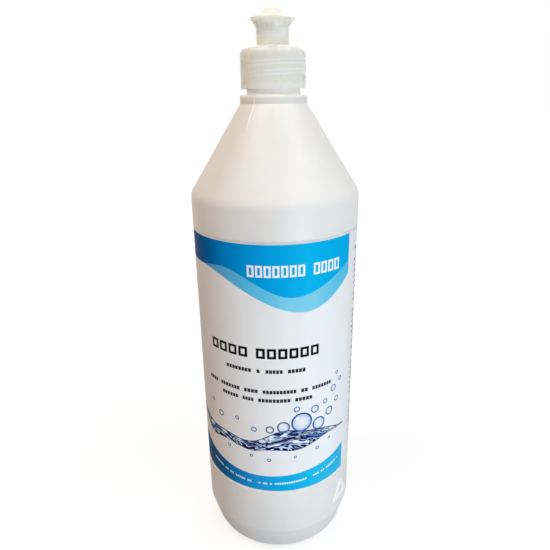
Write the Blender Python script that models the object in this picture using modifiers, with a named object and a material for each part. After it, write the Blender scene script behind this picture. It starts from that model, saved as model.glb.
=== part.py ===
"""Dish soap bottle with a screw cap and a pull spout, in metres, +Z up.

The origin is the centre of the foot on the surface that the bottle stands on. The front faces -Y.
Every round piece is a turned outline: a list of corners, each with the radius that rounds it.
"""
import math

import bmesh
import bpy
from mathutils import Matrix, Vector

# Fineness of the round surfaces
BOTTLE_SEGMENTS = 64
CLOSURE_SEGMENTS = 48
ARC_TOLERANCE = 0.00005
SHARP_EDGE_ANGLE = math.radians(28.0)

# Clearance between pieces that touch
SEAT_GAP = 0.0003

# Blown body
BODY_RADIUS = 0.0420
BODY_LENGTH = 0.1812
BODY_WALL = 0.0008
HEEL_HEIGHT = 0.0177
HEEL_DRAW_IN = 0.0050
HEEL_EDGE_RADIUS = 0.0015
FOOT_CORNER_RADIUS = 0.0073
FOOT_RING_WIDTH = 0.0045
PUSH_UP_HEIGHT = 0.0050
PUSH_UP_SLOPE_WIDTH = 0.0060
PUSH_UP_EDGE_RADIUS = 0.0020
SHOULDER_EDGE_RADIUS = 0.0084
CONE_HEIGHT = 0.0411

# Neck with its transfer ring and thread
RING_OVERHANG = 0.00335
RING_HEIGHT = 0.0036
RING_EDGE_RADIUS = 0.0004
RING_TOP_SLOPE = 0.0006
NECK_RADIUS = 0.01265
NECK_HEIGHT = 0.0189
NECK_WALL = 0.00175
BORE_END_ABOVE_RING = 0.0015
BORE_FLARE_LENGTH = 0.0050
RIM_EDGE_RADIUS = 0.0003
THREAD_DEPTH = 0.00105
THREAD_PITCH = 0.00423
THREAD_TURNS = 1.5
THREAD_ROOT_WIDTH = 0.0023
THREAD_CREST_WIDTH = 0.0012
THREAD_BELOW_RIM = 0.0040
THREAD_START_ANGLE = math.pi
THREAD_FADE_TURNS = 0.08
THREAD_SINK = 0.0004

# Label film in its shallow panel
PANEL_DEPTH = 0.00035
PANEL_MARGIN = 0.0008
LABEL_GAP = 0.00012
LABEL_THICKNESS = 0.00018
LABEL_BELOW_SHOULDER = 0.0169
LABEL_ABOVE_HEEL = 0.0278
LABEL_SEAM_WIDTH = 0.0040

# Screw cap
CAP_WALL = 0.00135
CAP_DECK_THICKNESS = 0.0016
CAP_EDGE_RADIUS = 0.0034
CAP_ABOVE_RING = 0.0028
CAP_MOUTH_CHAMFER = 0.0004
SEAL_RING_LENGTH = 0.0042
SEAL_RING_WALL = 0.0010
SEAL_RING_CHAMFER = 0.0004

# Chimney on the cap, with the stopper pin that three spokes hold
CHIMNEY_RADIUS = 0.0056
CHIMNEY_WALL = 0.0012
CATCH_HEIGHT = 0.0004
CATCH_WIDTH = 0.0010
CATCH_LEAD = 0.0008
STOPPER_RADIUS = 0.0016
STOPPER_BASE_RADIUS = 0.0022
STOPPER_EDGE_RADIUS = 0.0003
STOPPER_BELOW_TOP = 0.0003
SPOKE_COUNT = 3
SPOKE_WIDTH = 0.0012
SPOKE_HEIGHT = 0.0040
SPOKE_ABOVE_DECK = 0.0020

# Pull spout
SPOUT_HEIGHT = 0.0158
SPOUT_WALL = 0.0009
FLANGE_OVERHANG = 0.0027
FLANGE_FILLET_RADIUS = 0.0050
FLANGE_BELOW_TOP = 0.0046
FLANGE_RIM_THICKNESS = 0.0010
FLANGE_TOP_RISE = 0.0006
NOZZLE_BASE_RADIUS = 0.0062
NOZZLE_TIP_RADIUS = 0.0039
NOZZLE_HEIGHT = 0.0027
NOZZLE_EDGE_RADIUS = 0.0007
NOZZLE_WALL = 0.0012
CAVITY_ABOVE_CHIMNEY = 0.0010
LIP_HEIGHT = 0.0011
SPOUT_TRAVEL = 0.0040
RIB_COUNT = 18
RIB_WIDTH = 0.0006
RIB_CURVE_RADIUS = 0.0068
RIB_SINK = 0.0001

# Heights and radii of the bottle
SHOULDER_Z = HEEL_HEIGHT + BODY_LENGTH
RING_Z = SHOULDER_Z + CONE_HEIGHT
RING_TOP_Z = RING_Z + RING_HEIGHT
RIM_Z = RING_TOP_Z + NECK_HEIGHT
LABEL_BOTTOM_Z = HEEL_HEIGHT + LABEL_ABOVE_HEEL
LABEL_TOP_Z = SHOULDER_Z - LABEL_BELOW_SHOULDER
PANEL_RADIUS = BODY_RADIUS - PANEL_DEPTH
NECK_BORE_RADIUS = NECK_RADIUS - NECK_WALL
RING_RADIUS = NECK_RADIUS + RING_OVERHANG

# Heights and radii of the cap and the spout
DECK_UNDERSIDE_Z = RIM_Z + SEAT_GAP
DECK_TOP_Z = DECK_UNDERSIDE_Z + CAP_DECK_THICKNESS
CAP_BOTTOM_Z = RING_TOP_Z + CAP_ABOVE_RING
CAP_BORE_RADIUS = NECK_RADIUS + THREAD_DEPTH + SEAT_GAP
CAP_RADIUS = CAP_BORE_RADIUS + CAP_WALL
LIP_RADIUS = CHIMNEY_RADIUS + SEAT_GAP
CATCH_RADIUS = LIP_RADIUS + CATCH_HEIGHT
SPOUT_BORE_RADIUS = CATCH_RADIUS + SEAT_GAP
STEM_RADIUS = SPOUT_BORE_RADIUS + SPOUT_WALL
FLANGE_RADIUS = STEM_RADIUS + FLANGE_OVERHANG
ORIFICE_RADIUS = STOPPER_RADIUS + SEAT_GAP
SPOUT_BOTTOM_Z = DECK_TOP_Z + SEAT_GAP
SPOUT_TOP_Z = SPOUT_BOTTOM_Z + SPOUT_HEIGHT
FLANGE_Z = SPOUT_TOP_Z - FLANGE_BELOW_TOP
NOZZLE_BASE_Z = SPOUT_TOP_Z - NOZZLE_HEIGHT
NOZZLE_CEILING_Z = SPOUT_TOP_Z - NOZZLE_WALL - NOZZLE_EDGE_RADIUS
LIP_TOP_Z = SPOUT_BOTTOM_Z + LIP_HEIGHT
CATCH_Z = LIP_TOP_Z + SPOUT_TRAVEL + CATCH_HEIGHT + SEAT_GAP * math.sqrt(2.0)
CHIMNEY_TOP_Z = CATCH_Z + CATCH_WIDTH + CATCH_LEAD


def clear_scene():
    for item in list(bpy.data.objects):
        bpy.data.objects.remove(item, do_unlink=True)


def new_collection(name):
    collection = bpy.data.collections.new(name)
    bpy.context.scene.collection.children.link(collection)
    return collection


def principled(name, colour, roughness, metallic=0.0):
    material = bpy.data.materials.new(name)
    material.use_nodes = True
    shader = material.node_tree.nodes["Principled BSDF"]
    shader.inputs["Base Color"].default_value = (*colour, 1.0)
    shader.inputs["Roughness"].default_value = roughness
    shader.inputs["Metallic"].default_value = metallic
    material.diffuse_color = (*colour, 1.0)
    return material


def place(mesh, name, collection, material=None):
    """Put a mesh in the scene as a named object."""
    item = bpy.data.objects.new(name, mesh)
    if material:
        mesh.materials.append(material)
    collection.objects.link(item)
    return item


def hide_tool(item):
    item.hide_render = True
    item.display_type = "WIRE"
    return item


def finish_tool(bm, name, collection):
    """Turn a bmesh of closed shapes into a hidden object that joins or cuts another."""
    bmesh.ops.recalc_face_normals(bm, faces=bm.faces)
    mesh = bpy.data.meshes.new(name)
    bm.to_mesh(mesh)
    bm.free()
    return hide_tool(place(mesh, name, collection))


def arc_steps(radius, sweep):
    """Straight steps that keep an arc within the tolerance."""
    widest = 2.0 * math.acos(max(0.0, 1.0 - ARC_TOLERANCE / radius))
    return max(1, math.ceil(sweep / widest))


def round_corner(before, corner, after, radius):
    """Points of the arc that rounds a corner of an outline, both ends included."""
    tip = Vector(corner[:2])
    back = (Vector(before[:2]) - tip).normalized()
    ahead = (Vector(after[:2]) - tip).normalized()
    half_angle = back.angle(ahead) / 2.0
    setback = radius / math.tan(half_angle)
    centre = tip + (back + ahead).normalized() * (radius / math.sin(half_angle))
    start = tip + back * setback - centre
    end = tip + ahead * setback - centre
    sweep = math.pi - 2.0 * half_angle
    steps = arc_steps(radius, sweep)
    turn = math.copysign(sweep, start.x * end.y - start.y * end.x) / steps
    first = math.atan2(start.y, start.x)
    angles = [first + turn * step for step in range(steps + 1)]
    return [(centre.x + radius * math.cos(a), centre.y + radius * math.sin(a)) for a in angles]


def outline(corners, closed=False):
    """Turn corners (radius, height, rounding) into the points of an outline."""
    points = []
    count = len(corners)
    for index, (x, z, rounding) in enumerate(corners):
        inner_corner = closed or 0 < index < count - 1
        if rounding > 0.0 and inner_corner:
            before = corners[index - 1]
            after = corners[(index + 1) % count]
            points.extend(round_corner(before, (x, z), after, rounding))
        else:
            points.append((x, z))
    return points


def offset_corner(before, corner, after, distance):
    """The corner (x, z, rounding) of an outline that lies a distance to the right of this one."""
    tip = Vector(corner[:2])
    first = (tip - Vector(before[:2])).normalized()
    second = (Vector(after[:2]) - tip).normalized()
    to_right = Vector((first.y + second.y, -first.x - second.x))
    moved = tip + to_right * (2.0 * distance / to_right.length_squared)
    turns_right = first.x * second.y - first.y * second.x < 0.0
    rounding = corner[2] - distance if turns_right else corner[2] + distance
    return (moved.x, moved.y, max(rounding, 0.0))


def turned(name, points, collection, segments, material=None, closed=False):
    """Turn an outline about the Z axis; it runs down the outer side, from top to bottom."""
    mesh = bpy.data.meshes.new(name)
    count = len(points)
    edges = [(index, index + 1) for index in range(count - 1)]
    if closed:
        edges.append((count - 1, 0))
    mesh.from_pydata([(x, 0.0, z) for x, z in points], edges, [])
    item = place(mesh, name, collection, material)
    screw = item.modifiers.new("Turn", "SCREW")
    screw.axis = "Z"
    screw.steps = segments
    screw.render_steps = segments
    screw.use_merge_vertices = True
    screw.merge_threshold = 0.000001
    return item


def join_with(target, other):
    union = target.modifiers.new("Join " + other.name, "BOOLEAN")
    union.operation = "UNION"
    union.solver = "EXACT"
    union.object = other


def settle(item):
    """Apply a part's modifiers, and shade it smooth between its sharp edges."""
    graph = bpy.context.evaluated_depsgraph_get()
    mesh = bpy.data.meshes.new_from_object(item.evaluated_get(graph))
    mesh.name = item.name
    item.modifiers.clear()
    item.data = mesh
    mesh.shade_smooth()
    mesh.set_sharp_from_angle(angle=SHARP_EDGE_ANGLE)


def body_corners():
    """Outer corners of the blown body, from the transfer ring's underside down to the foot's centre."""
    foot_radius = BODY_RADIUS - HEEL_DRAW_IN
    side_angle = math.atan2(HEEL_HEIGHT, HEEL_DRAW_IN)
    foot_setback = FOOT_CORNER_RADIUS / math.tan((math.pi - side_angle) / 2.0)
    flat_inner = foot_radius - foot_setback - FOOT_RING_WIDTH
    dome_edge = flat_inner - PUSH_UP_SLOPE_WIDTH
    return [
        (RING_RADIUS, RING_Z, 0.0),
        (BODY_RADIUS, SHOULDER_Z, SHOULDER_EDGE_RADIUS),
        (BODY_RADIUS, HEEL_HEIGHT, HEEL_EDGE_RADIUS),
        (foot_radius, 0.0, FOOT_CORNER_RADIUS),
        (flat_inner, 0.0, PUSH_UP_EDGE_RADIUS),
        (dome_edge, PUSH_UP_HEIGHT, PUSH_UP_EDGE_RADIUS),
        (0.0, PUSH_UP_HEIGHT, 0.0),
    ]


def panel_corners():
    """The shallow step round the wall that the label lies in, top to bottom."""
    top = LABEL_TOP_Z + PANEL_MARGIN
    bottom = LABEL_BOTTOM_Z - PANEL_MARGIN
    return [
        (BODY_RADIUS, top + PANEL_DEPTH, 0.0),
        (PANEL_RADIUS, top, 0.0),
        (PANEL_RADIUS, bottom, 0.0),
        (BODY_RADIUS, bottom - PANEL_DEPTH, 0.0),
    ]


def inner_corners(outer):
    """The hollow's corners, one wall inside the outer ones, from the centre of its floor to the bore."""
    wall = BODY_WALL + PANEL_DEPTH
    inside = []
    for before, corner, after in zip(outer, outer[1:], outer[2:]):
        inside.append(offset_corner(before, corner, after, wall))
    shoulder = inside[0]
    cone_slope = (BODY_RADIUS - RING_RADIUS) / CONE_HEIGHT
    flare_top_z = RING_Z + BORE_END_ABOVE_RING
    flare_bottom_z = flare_top_z - BORE_FLARE_LENGTH
    flare_radius = shoulder[0] - (flare_bottom_z - shoulder[1]) * cone_slope
    bore = [(NECK_BORE_RADIUS, flare_top_z, 0.0), (flare_radius, flare_bottom_z, 0.0)]
    floor_centre = (0.0, PUSH_UP_HEIGHT + wall, 0.0)
    return [floor_centre] + list(reversed(bore + inside))


def neck_corners():
    """Rim, neck wall and transfer ring, from the bore's top edge to the ring's underside."""
    return [
        (NECK_BORE_RADIUS, RIM_Z, RIM_EDGE_RADIUS),
        (NECK_RADIUS, RIM_Z, RIM_EDGE_RADIUS),
        (NECK_RADIUS, RING_TOP_Z + RING_TOP_SLOPE, 0.0),
        (RING_RADIUS, RING_TOP_Z, RING_EDGE_RADIUS),
    ]


def thread_ridge(collection):
    """The helical ridge round the neck, a loft of trapezoids that fades in and out at its ends."""
    steps = round(THREAD_TURNS * BOTTLE_SEGMENTS)
    fade_steps = THREAD_FADE_TURNS * BOTTLE_SEGMENTS
    root_radius = NECK_RADIUS - THREAD_SINK
    least = THREAD_SINK / 4.0
    top_z = RIM_Z - THREAD_BELOW_RIM
    bm = bmesh.new()
    sections = []
    for step in range(steps + 1):
        fullness = min(1.0, step / fade_steps, (steps - step) / fade_steps)
        crest_radius = root_radius + least + (THREAD_DEPTH + THREAD_SINK - least) * fullness
        angle = THREAD_START_ANGLE + 2.0 * math.pi * step / BOTTLE_SEGMENTS
        middle_z = top_z - THREAD_PITCH * (steps - step) / BOTTLE_SEGMENTS
        section = (
            (root_radius, -THREAD_ROOT_WIDTH / 2.0),
            (crest_radius, -THREAD_CREST_WIDTH / 2.0),
            (crest_radius, THREAD_CREST_WIDTH / 2.0),
            (root_radius, THREAD_ROOT_WIDTH / 2.0),
        )
        ring = []
        for radius, rise in section:
            ring.append(bm.verts.new((radius * math.cos(angle), radius * math.sin(angle), middle_z + rise)))
        sections.append(ring)
    for ring, following in zip(sections, sections[1:]):
        for index in range(len(ring)):
            beside = (index + 1) % len(ring)
            bm.faces.new((ring[index], following[index], following[beside], ring[beside]))
    bm.faces.new(sections[0])
    bm.faces.new(sections[-1])
    return finish_tool(bm, "thread_ridge", collection)


def make_bottle(parts, tools):
    outer = body_corners()
    wall_side = outer[:2] + panel_corners() + outer[2:]
    corners = inner_corners(outer) + neck_corners() + wall_side
    material = principled("bottle_wall", (0.86, 0.86, 0.85), 0.38)
    bottle = turned("bottle", outline(corners), parts, BOTTLE_SEGMENTS, material)
    join_with(bottle, thread_ridge(tools))
    return bottle


def make_label(parts):
    """One film wrapped round the wall, its two ends a little apart at the back."""
    inner_radius = PANEL_RADIUS + LABEL_GAP
    seam_angle = LABEL_SEAM_WIDTH / inner_radius
    material = principled("label_film", (0.80, 0.84, 0.90), 0.30)
    ends = [(inner_radius, LABEL_TOP_Z), (inner_radius, LABEL_BOTTOM_Z)]
    label = turned("label", ends, parts, BOTTLE_SEGMENTS, material)
    wrap = label.modifiers["Turn"]
    wrap.angle = 2.0 * math.pi - seam_angle
    wrap.use_merge_vertices = False
    label.rotation_euler.z = math.pi / 2.0 + seam_angle / 2.0
    film = label.modifiers.new("Film", "SOLIDIFY")
    film.thickness = LABEL_THICKNESS
    film.offset = 1.0
    film.use_even_offset = True
    return label


def cap_corners():
    """Closed section of the cap, from the chimney's top down its outer side and back up inside."""
    catch_top_z = CATCH_Z + CATCH_WIDTH
    catch_foot_z = CATCH_Z - (CATCH_RADIUS - CHIMNEY_RADIUS)
    channel_radius = CHIMNEY_RADIUS - CHIMNEY_WALL
    seal_radius = NECK_BORE_RADIUS - SEAT_GAP
    seal_bottom_z = DECK_UNDERSIDE_Z - SEAL_RING_LENGTH
    return [
        (channel_radius, CHIMNEY_TOP_Z, 0.0),
        (CHIMNEY_RADIUS, CHIMNEY_TOP_Z, 0.0),
        (CATCH_RADIUS, catch_top_z, 0.0),
        (CATCH_RADIUS, CATCH_Z, 0.0),
        (CHIMNEY_RADIUS, catch_foot_z, 0.0),
        (CHIMNEY_RADIUS, DECK_TOP_Z, 0.0),
        (CAP_RADIUS, DECK_TOP_Z, CAP_EDGE_RADIUS),
        (CAP_RADIUS, CAP_BOTTOM_Z, 0.0),
        (CAP_BORE_RADIUS + CAP_MOUTH_CHAMFER, CAP_BOTTOM_Z, 0.0),
        (CAP_BORE_RADIUS, CAP_BOTTOM_Z + CAP_MOUTH_CHAMFER, 0.0),
        (CAP_BORE_RADIUS, DECK_UNDERSIDE_Z, 0.0),
        (seal_radius, DECK_UNDERSIDE_Z, 0.0),
        (seal_radius, seal_bottom_z + SEAL_RING_CHAMFER, 0.0),
        (seal_radius - SEAL_RING_CHAMFER, seal_bottom_z, 0.0),
        (seal_radius - SEAL_RING_WALL, seal_bottom_z, 0.0),
        (seal_radius - SEAL_RING_WALL, DECK_UNDERSIDE_Z, 0.0),
        (channel_radius, DECK_UNDERSIDE_Z, 0.0),
    ]


def spoke_bars(collection):
    """Radial bars from inside the stopper pin to the middle of the chimney's wall."""
    start = STOPPER_BASE_RADIUS / 2.0
    end = CHIMNEY_RADIUS - CHIMNEY_WALL / 2.0
    middle_z = DECK_TOP_Z + SPOKE_ABOVE_DECK + SPOKE_HEIGHT / 2.0
    shift = Matrix.Translation(((start + end) / 2.0, 0.0, middle_z))
    size = Matrix.Diagonal((end - start, SPOKE_WIDTH, SPOKE_HEIGHT, 1.0))
    bm = bmesh.new()
    for index in range(SPOKE_COUNT):
        turn = Matrix.Rotation(2.0 * math.pi * index / SPOKE_COUNT, 4, "Z")
        bmesh.ops.create_cube(bm, size=1.0, matrix=turn @ shift @ size)
    return finish_tool(bm, "spokes", collection)


def stopper_pin(collection):
    """The pin that plugs the spout's hole while the spout is down."""
    top_z = SPOUT_TOP_Z - STOPPER_BELOW_TOP
    bottom_z = DECK_TOP_Z + SPOKE_ABOVE_DECK - SEAT_GAP
    widening = STOPPER_BASE_RADIUS - STOPPER_RADIUS
    waist_z = NOZZLE_CEILING_Z - SEAT_GAP - widening
    corners = [
        (0.0, top_z, 0.0),
        (STOPPER_RADIUS, top_z, STOPPER_EDGE_RADIUS),
        (STOPPER_RADIUS, waist_z, 0.0),
        (STOPPER_BASE_RADIUS, waist_z - widening, 0.0),
        (STOPPER_BASE_RADIUS, bottom_z, 0.0),
        (0.0, bottom_z, 0.0),
    ]
    return hide_tool(turned("stopper_pin", outline(corners), collection, CLOSURE_SEGMENTS // 2))


def make_screw_cap(parts, tools):
    material = principled("cap_plastic", (0.82, 0.81, 0.78), 0.32)
    points = outline(cap_corners(), closed=True)
    cap = turned("screw_cap", points, parts, CLOSURE_SEGMENTS, material, closed=True)
    pin = stopper_pin(tools)
    join_with(pin, spoke_bars(tools))
    join_with(cap, pin)
    return cap


def flange_curve(radius):
    """Points (x, z) of the hollow arc under the flange, from its edge down to the stem."""
    sweep = math.acos(1.0 - FLANGE_OVERHANG / radius)
    start_z = FLANGE_Z - radius * math.sin(sweep)
    steps = arc_steps(radius, sweep)
    points = []
    for step in range(steps + 1):
        angle = sweep * (1.0 - step / steps)
        x = STEM_RADIUS + radius * (1.0 - math.cos(angle))
        points.append((x, start_z + radius * math.sin(angle)))
    return points


def nozzle_radius(z):
    """Outer radius of the nozzle's slope at a height."""
    slope = (NOZZLE_BASE_RADIUS - NOZZLE_TIP_RADIUS) / NOZZLE_HEIGHT
    return NOZZLE_TIP_RADIUS + (SPOUT_TOP_Z - z) * slope


def spout_points():
    """Closed section of the spout, from its hole's top edge down its outer side and back up inside."""
    rim_z = FLANGE_Z + FLANGE_RIM_THICKNESS
    rim_half = FLANGE_RIM_THICKNESS / 2.0
    tip = outline([
        (ORIFICE_RADIUS, SPOUT_TOP_Z, 0.0),
        (NOZZLE_TIP_RADIUS, SPOUT_TOP_Z, NOZZLE_EDGE_RADIUS),
        (NOZZLE_BASE_RADIUS, NOZZLE_BASE_Z, 0.0),
    ])
    flange_top = [
        (NOZZLE_BASE_RADIUS + FLANGE_TOP_RISE, rim_z + FLANGE_TOP_RISE),
        (FLANGE_RADIUS - rim_half, rim_z),
        (FLANGE_RADIUS, rim_z - rim_half),
    ]
    throat_z = NOZZLE_BASE_Z - NOZZLE_WALL
    inside = [
        (STEM_RADIUS, SPOUT_BOTTOM_Z),
        (LIP_RADIUS, SPOUT_BOTTOM_Z),
        (LIP_RADIUS, LIP_TOP_Z),
        (SPOUT_BORE_RADIUS, LIP_TOP_Z + SPOUT_BORE_RADIUS - LIP_RADIUS),
        (SPOUT_BORE_RADIUS, CHIMNEY_TOP_Z + CAVITY_ABOVE_CHIMNEY),
        (NOZZLE_BASE_RADIUS - NOZZLE_WALL, throat_z),
        (nozzle_radius(NOZZLE_CEILING_Z) - NOZZLE_WALL, NOZZLE_CEILING_Z),
        (ORIFICE_RADIUS, NOZZLE_CEILING_Z),
    ]
    return tip + flange_top + flange_curve(FLANGE_FILLET_RADIUS) + inside


def finger_ribs(collection):
    """Thin upright ribs under the flange, one plate repeated round the stem."""
    edge = flange_curve(RIB_CURVE_RADIUS)
    root = SPOUT_BORE_RADIUS + SPOUT_WALL / 2.0
    top_z = FLANGE_Z + FLANGE_RIM_THICKNESS / 2.0
    flange_end = FLANGE_RADIUS - FLANGE_RIM_THICKNESS
    section = [(root, top_z), (flange_end, top_z)]
    section += [(x - RIB_SINK, z) for x, z in edge[1:]]
    section.append((root, edge[-1][1]))
    across = Matrix.Translation((0.0, RIB_WIDTH, 0.0))
    bm = bmesh.new()
    for index in range(RIB_COUNT):
        turn = Matrix.Rotation(2.0 * math.pi * index / RIB_COUNT, 4, "Z")
        corners = [bm.verts.new((x, -RIB_WIDTH / 2.0, z)) for x, z in section]
        plate = bmesh.ops.extrude_face_region(bm, geom=[bm.faces.new(corners)])
        far_side = [item for item in plate["geom"] if isinstance(item, bmesh.types.BMVert)]
        bmesh.ops.transform(bm, matrix=across, verts=far_side)
        bmesh.ops.transform(bm, matrix=turn, verts=corners + far_side)
    return finish_tool(bm, "finger_ribs", collection)


def make_pull_spout(parts, tools):
    material = principled("spout_plastic", (0.84, 0.83, 0.77), 0.35)
    spout = turned("pull_spout", spout_points(), parts, CLOSURE_SEGMENTS, material, closed=True)
    join_with(spout, finger_ribs(tools))
    return spout


def main():
    clear_scene()
    parts = new_collection("dish_soap_bottle")
    tools = new_collection("tools")
    made = [
        make_bottle(parts, tools),
        make_label(parts),
        make_screw_cap(parts, tools),
        make_pull_spout(parts, tools),
    ]
    for item in made:
        settle(item)


main()
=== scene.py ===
"""Finishes, moulded details, lights and camera for a dish soap bottle: an add-on, run as a script."""

import math

import bpy
from mathutils import Matrix, Vector


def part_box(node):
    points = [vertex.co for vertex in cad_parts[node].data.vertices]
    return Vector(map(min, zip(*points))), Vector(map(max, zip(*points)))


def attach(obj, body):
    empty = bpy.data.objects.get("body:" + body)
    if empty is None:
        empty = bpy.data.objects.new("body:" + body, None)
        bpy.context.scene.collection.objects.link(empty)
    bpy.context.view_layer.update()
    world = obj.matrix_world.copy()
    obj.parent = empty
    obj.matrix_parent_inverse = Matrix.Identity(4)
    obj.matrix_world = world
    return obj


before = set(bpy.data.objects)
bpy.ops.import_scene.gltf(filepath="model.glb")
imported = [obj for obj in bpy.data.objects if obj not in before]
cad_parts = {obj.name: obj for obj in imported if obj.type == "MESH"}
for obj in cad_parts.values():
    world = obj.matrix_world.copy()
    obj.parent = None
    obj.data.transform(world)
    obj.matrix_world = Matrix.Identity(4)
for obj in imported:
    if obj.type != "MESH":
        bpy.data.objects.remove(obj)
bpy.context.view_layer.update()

bl_info = {
    "name": "Dish Soap Bottle",
    "version": (1, 0, 0),
    "blender": (4, 5, 0),
    "location": "3D View > Sidebar > Bottle",
    "description": "Finishes, printed label, moulded details, lights and camera for a dish soap bottle",
    "category": "Object",
}

IMAGE_SIDE = 550
MM = 0.001

# The solids' boxes, and levels and radii on them, in metres
BOTTLE_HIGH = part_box("bottle")[1]
LABEL_LOW, LABEL_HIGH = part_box("label")
CAP_LOW_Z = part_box("screw_cap")[0].z
SPOUT_LOW_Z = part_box("pull_spout")[0].z
WALL_RADIUS = BOTTLE_HIGH.x
SHOULDER_Z = LABEL_HIGH.z + 0.0169
RING_Z = SHOULDER_Z + 0.0411
RING_TOP_Z = RING_Z + 0.0036
RING_RADIUS = 0.0160
PUSH_UP_Z = 0.0050
PUSH_UP_REACH = 0.0185
CAP_BORE_RADIUS = 0.0140
THREAD_PITCH = 0.00423
THREAD_TURNS = 1.5
THREAD_TOP_Z = BOTTLE_HIGH.z - 0.0040
THREAD_LOW_Z = THREAD_TOP_Z - THREAD_TURNS * THREAD_PITCH

# Edges: the angle that stays sharp, and distances at which points become one
SMOOTH_LIMIT = math.radians(28.0)
WELD_DISTANCE = 2e-6
SAME_PLACE = 1e-7


def srgb(red, green, blue):
    """A screen colour, 0 to 255 in each channel, as the linear colour that a shader takes."""
    channels = []
    for value in (red, green, blue):
        share = value / 255.0
        channels.append(share / 12.92 if share <= 0.04045 else ((share + 0.055) / 1.055) ** 2.4)
    return tuple(channels)


class BottleSettings(bpy.types.PropertyGroup):
    """Sizes and colours that a user would change."""

    seam_width: bpy.props.FloatProperty(
        name="Seam width", description="Width of the mould's parting line",
        default=0.00042, min=0.0001, max=0.002, unit="LENGTH", subtype="DISTANCE")
    seam_height: bpy.props.FloatProperty(
        name="Seam height", description="How far the parting line stands out of the wall",
        default=0.00016, min=0.00005, max=0.001, unit="LENGTH", subtype="DISTANCE")
    mark_side: bpy.props.FloatProperty(
        name="Mark side", description="Side of the raised triangle low on the wall",
        default=0.0158, min=0.005, max=0.03, unit="LENGTH", subtype="DISTANCE")
    mark_height: bpy.props.FloatProperty(
        name="Mark height", description="How far the raised triangle stands out of the wall",
        default=0.0005, min=0.0001, max=0.001, unit="LENGTH", subtype="DISTANCE")
    thread_crest: bpy.props.FloatProperty(
        name="Thread crest", description="Radius of the crest of the cap's inner thread",
        default=0.01305, min=0.0128, max=0.0138, unit="LENGTH", subtype="DISTANCE")
    wall_colour: bpy.props.FloatVectorProperty(
        name="Wall colour", description="White plastic of the blown bottle",
        default=srgb(240, 238, 235), size=3, min=0.0, max=1.0, subtype="COLOR")
    film_colour: bpy.props.FloatVectorProperty(
        name="Film colour", description="White film of the label",
        default=srgb(236, 236, 237), size=3, min=0.0, max=1.0, subtype="COLOR")
    cap_colour: bpy.props.FloatVectorProperty(
        name="Cap colour", description="Milky plastic of the screw cap",
        default=srgb(234, 233, 223), size=3, min=0.0, max=1.0, subtype="COLOR")
    spout_colour: bpy.props.FloatVectorProperty(
        name="Spout colour", description="Milky plastic of the pull spout",
        default=srgb(245, 246, 231), size=3, min=0.0, max=1.0, subtype="COLOR")
    key_power: bpy.props.FloatProperty(
        name="Key power", description="Strength of the soft lamp above the bottle",
        default=2.25, min=0.0, unit="POWER")
    left_power: bpy.props.FloatProperty(
        name="Left power", description="Strength of the soft lamp high on the left",
        default=2.95, min=0.0, unit="POWER")
    low_power: bpy.props.FloatProperty(
        name="Low power", description="Strength of the soft lamp low at the front",
        default=1.12, min=0.0, unit="POWER")
    back_power: bpy.props.FloatProperty(
        name="Back power", description="Strength of the soft lamp behind the bottle",
        default=3.2, min=0.0, unit="POWER")


class Signal:
    """A number on its way through a node tree. Python's operators add its Math nodes."""

    def __init__(self, tree, socket):
        self.tree = tree
        self.socket = socket

    def math(self, operation, *values):
        node = self.tree.nodes.new("ShaderNodeMath")
        node.operation = operation
        for slot, value in zip(node.inputs, values):
            feed(self.tree, slot, value)
        return Signal(self.tree, node.outputs[0])

    def __add__(self, other):
        return self.math("ADD", self, other)

    def __sub__(self, other):
        return self.math("SUBTRACT", self, other)

    def __rsub__(self, other):
        return self.math("SUBTRACT", other, self)

    def __mul__(self, other):
        return self.math("MULTIPLY", self, other)

    def __pow__(self, other):
        return self.math("POWER", self, other)

    def __mod__(self, other):
        return self.math("FLOORED_MODULO", self, other)

    def __floordiv__(self, other):
        return self.math("FLOOR", self.math("DIVIDE", self, other))

    def __abs__(self):
        return self.math("ABSOLUTE", self)

    def at_least(self, other):
        return self.math("MAXIMUM", self, other)

    def sine(self):
        return self.math("SINE", self)

    def root(self):
        return self.math("SQRT", self)

    def above(self, other):
        return self.math("GREATER_THAN", self, other)

    def rising(self, low, high):
        """0 below low, 1 above high, and a smooth step between them."""
        node = self.tree.nodes.new("ShaderNodeMapRange")
        node.interpolation_type = "SMOOTHSTEP"
        for name, value in (("Value", self), ("From Min", low), ("From Max", high)):
            feed(self.tree, node.inputs[name], value)
        return Signal(self.tree, node.outputs[0])

    def falling(self, low, high):
        return 1.0 - self.rising(low, high)

    def between(self, low, high, soft):
        return self.rising(low - soft, low + soft) * self.falling(high - soft, high + soft)


def feed(tree, slot, value):
    """Links a signal or a socket to a slot, or sets the slot's own value."""
    if isinstance(value, Signal):
        value = value.socket
    if isinstance(value, bpy.types.NodeSocket):
        tree.links.new(slot, value)
    elif hasattr(value, "__len__") and len(value) == 3 and len(slot.default_value) == 4:
        slot.default_value = (*value, 1.0)
    else:
        slot.default_value = value


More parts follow.
